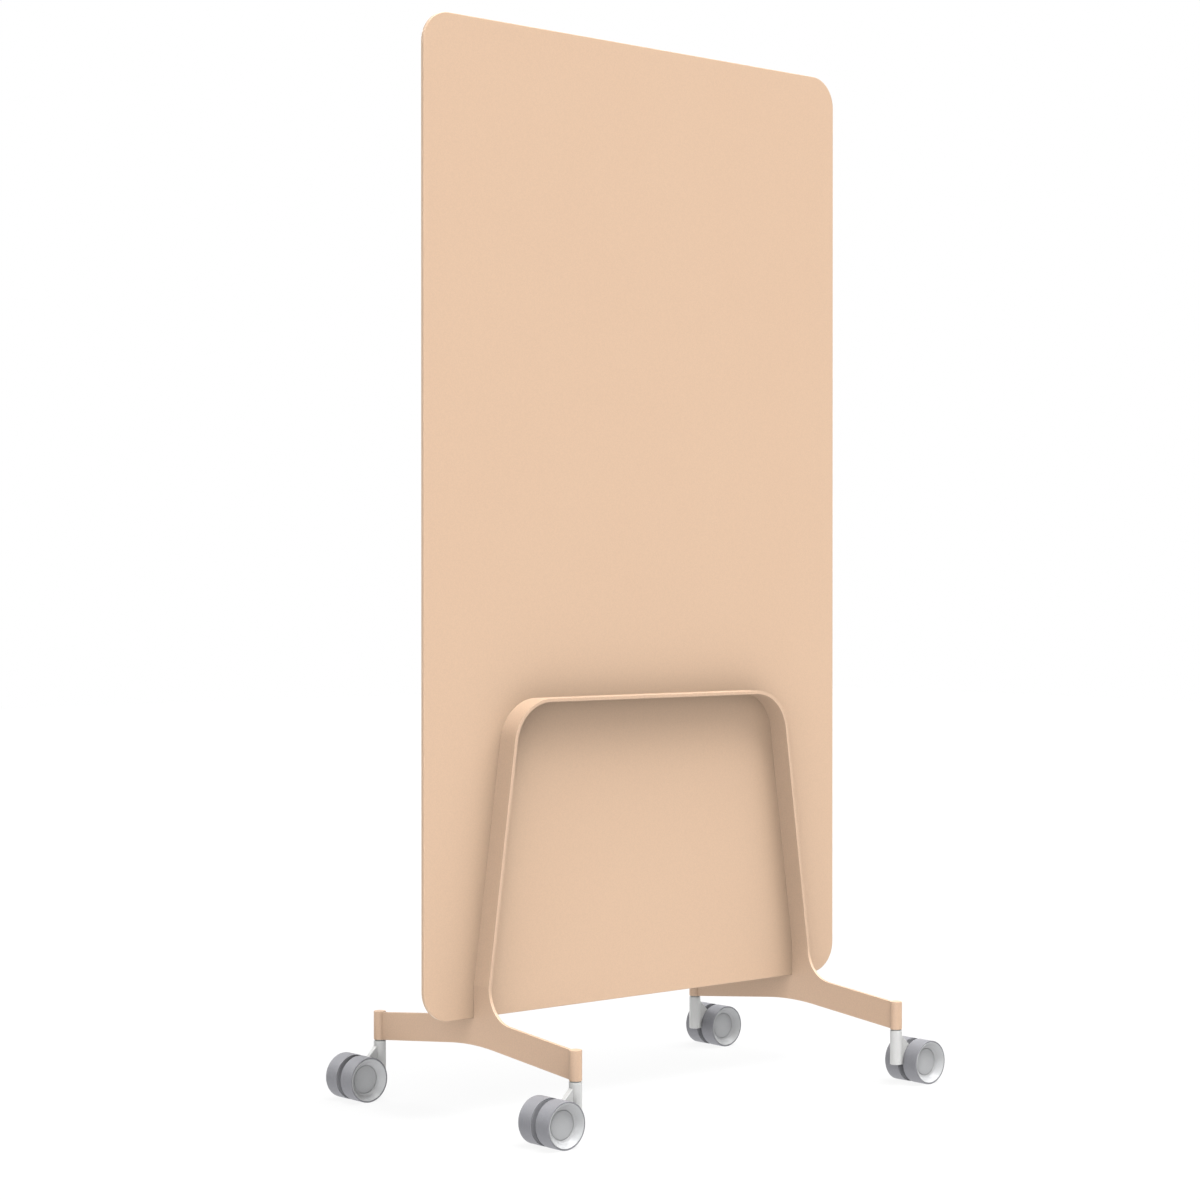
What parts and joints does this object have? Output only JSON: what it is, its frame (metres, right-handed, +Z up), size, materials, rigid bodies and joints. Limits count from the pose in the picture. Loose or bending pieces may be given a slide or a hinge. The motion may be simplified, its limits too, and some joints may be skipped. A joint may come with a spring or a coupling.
{
  "type": "mobile glass whiteboard",
  "caption": "Tall rounded glass writing board on an arch of flat steel band with two flat steel feet and twin-wheel swivel casters.",
  "frame": {"origin": "on the floor, midway between the four casters", "axes": "+Z up, +X along the board's width, the writing glass faces +Y, the arch stands on the -Y side"},
  "size_m": [1, 0.6166, 1.9],
  "materials": {
    "painted_glass": "glass painted on its back, gloss",
    "sheet_steel": "bare",
    "coated_aluminium": "fine powder coat",
    "powder_coat": "fine powder coat",
    "zinc_steel": "zinc plated",
    "housing_plastic": "moulded, satin",
    "tread_rubber": "soft tread",
    "wheel_plastic": "moulded, satin",
    "cap_plastic": "moulded, fine texture"
  },
  "bodies": {
    "stand": {"writing_glass": "painted_glass", "magnetic_sheet": "sheet_steel", "rear_panel": "coated_aluminium", "arch_band": "powder_coat", "foot_plate_left": "powder_coat", "foot_plate_right": "powder_coat", "band_screw_top_left": "zinc_steel", "band_screw_high_left": "zinc_steel", "band_screw_low_left": "zinc_steel", "band_screw_top_right": "zinc_steel", "band_screw_high_right": "zinc_steel", "band_screw_low_right": "zinc_steel", "socket_front_left": "powder_coat", "stem_front_left": "zinc_steel", "grip_ring_front_left": "zinc_steel", "thrust_washer_front_left": "housing_plastic", "socket_front_right": "powder_coat", "stem_front_right": "zinc_steel", "grip_ring_front_right": "zinc_steel", "thrust_washer_front_right": "housing_plastic", "socket_rear_left": "powder_coat", "stem_rear_left": "zinc_steel", "grip_ring_rear_left": "zinc_steel", "thrust_washer_rear_left": "housing_plastic", "socket_rear_right": "powder_coat", "stem_rear_right": "zinc_steel", "grip_ring_rear_right": "zinc_steel", "thrust_washer_rear_right": "housing_plastic"},
    "swivel_front_left": {"housing_front_left": "housing_plastic", "axle_front_left": "zinc_steel"},
    "wheel_front_left_near": {"tread_front_left_near": "tread_rubber", "core_front_left_near": "wheel_plastic", "cap_front_left_near": "cap_plastic"},
    "wheel_front_left_far": {"tread_front_left_far": "tread_rubber", "core_front_left_far": "wheel_plastic", "cap_front_left_far": "cap_plastic"},
    "swivel_front_right": {"housing_front_right": "housing_plastic", "axle_front_right": "zinc_steel"},
    "wheel_front_right_near": {"tread_front_right_near": "tread_rubber", "core_front_right_near": "wheel_plastic", "cap_front_right_near": "cap_plastic"},
    "wheel_front_right_far": {"tread_front_right_far": "tread_rubber", "core_front_right_far": "wheel_plastic", "cap_front_right_far": "cap_plastic"},
    "swivel_rear_left": {"housing_rear_left": "housing_plastic", "axle_rear_left": "zinc_steel"},
    "wheel_rear_left_near": {"tread_rear_left_near": "tread_rubber", "core_rear_left_near": "wheel_plastic", "cap_rear_left_near": "cap_plastic"},
    "wheel_rear_left_far": {"tread_rear_left_far": "tread_rubber", "core_rear_left_far": "wheel_plastic", "cap_rear_left_far": "cap_plastic"},
    "swivel_rear_right": {"housing_rear_right": "housing_plastic", "axle_rear_right": "zinc_steel"},
    "wheel_rear_right_near": {"tread_rear_right_near": "tread_rubber", "core_rear_right_near": "wheel_plastic", "cap_rear_right_near": "cap_plastic"},
    "wheel_rear_right_far": {"tread_rear_right_far": "tread_rubber", "core_rear_right_far": "wheel_plastic", "cap_rear_right_far": "cap_plastic"}
  },
  "joints": [
    {"name": "swivel_front_left_turn", "type": "hinge", "parent": "stand", "child": "swivel_front_left", "pos_m": [-0.39, -0.27, 0.101], "axis": [0, 0, 1], "continuous": true},
    {"name": "wheel_front_left_near_roll", "type": "hinge", "parent": "swivel_front_left", "child": "wheel_front_left_near", "pos_m": [-0.4416, -0.27, 0.04], "axis": [0, 1, 0], "continuous": true},
    {"name": "wheel_front_left_far_roll", "type": "hinge", "parent": "swivel_front_left", "child": "wheel_front_left_far", "pos_m": [-0.4416, -0.27, 0.04], "axis": [0, 1, 0], "continuous": true},
    {"name": "swivel_front_right_turn", "type": "hinge", "parent": "stand", "child": "swivel_front_right", "pos_m": [0.39, -0.27, 0.101], "axis": [0, 0, 1], "continuous": true},
    {"name": "wheel_front_right_near_roll", "type": "hinge", "parent": "swivel_front_right", "child": "wheel_front_right_near", "pos_m": [0.4416, -0.27, 0.04], "axis": [0, 1, 0], "continuous": true},
    {"name": "wheel_front_right_far_roll", "type": "hinge", "parent": "swivel_front_right", "child": "wheel_front_right_far", "pos_m": [0.4416, -0.27, 0.04], "axis": [0, 1, 0], "continuous": true},
    {"name": "swivel_rear_left_turn", "type": "hinge", "parent": "stand", "child": "swivel_rear_left", "pos_m": [-0.39, 0.27, 0.101], "axis": [0, 0, 1], "continuous": true},
    {"name": "wheel_rear_left_near_roll", "type": "hinge", "parent": "swivel_rear_left", "child": "wheel_rear_left_near", "pos_m": [-0.4416, 0.27, 0.04], "axis": [0, 1, 0], "continuous": true},
    {"name": "wheel_rear_left_far_roll", "type": "hinge", "parent": "swivel_rear_left", "child": "wheel_rear_left_far", "pos_m": [-0.4416, 0.27, 0.04], "axis": [0, 1, 0], "continuous": true},
    {"name": "swivel_rear_right_turn", "type": "hinge", "parent": "stand", "child": "swivel_rear_right", "pos_m": [0.39, 0.27, 0.101], "axis": [0, 0, 1], "continuous": true},
    {"name": "wheel_rear_right_near_roll", "type": "hinge", "parent": "swivel_rear_right", "child": "wheel_rear_right_near", "pos_m": [0.4416, 0.27, 0.04], "axis": [0, 1, 0], "continuous": true},
    {"name": "wheel_rear_right_far_roll", "type": "hinge", "parent": "swivel_rear_right", "child": "wheel_rear_right_far", "pos_m": [0.4416, 0.27, 0.04], "axis": [0, 1, 0], "continuous": true}
  ]
}
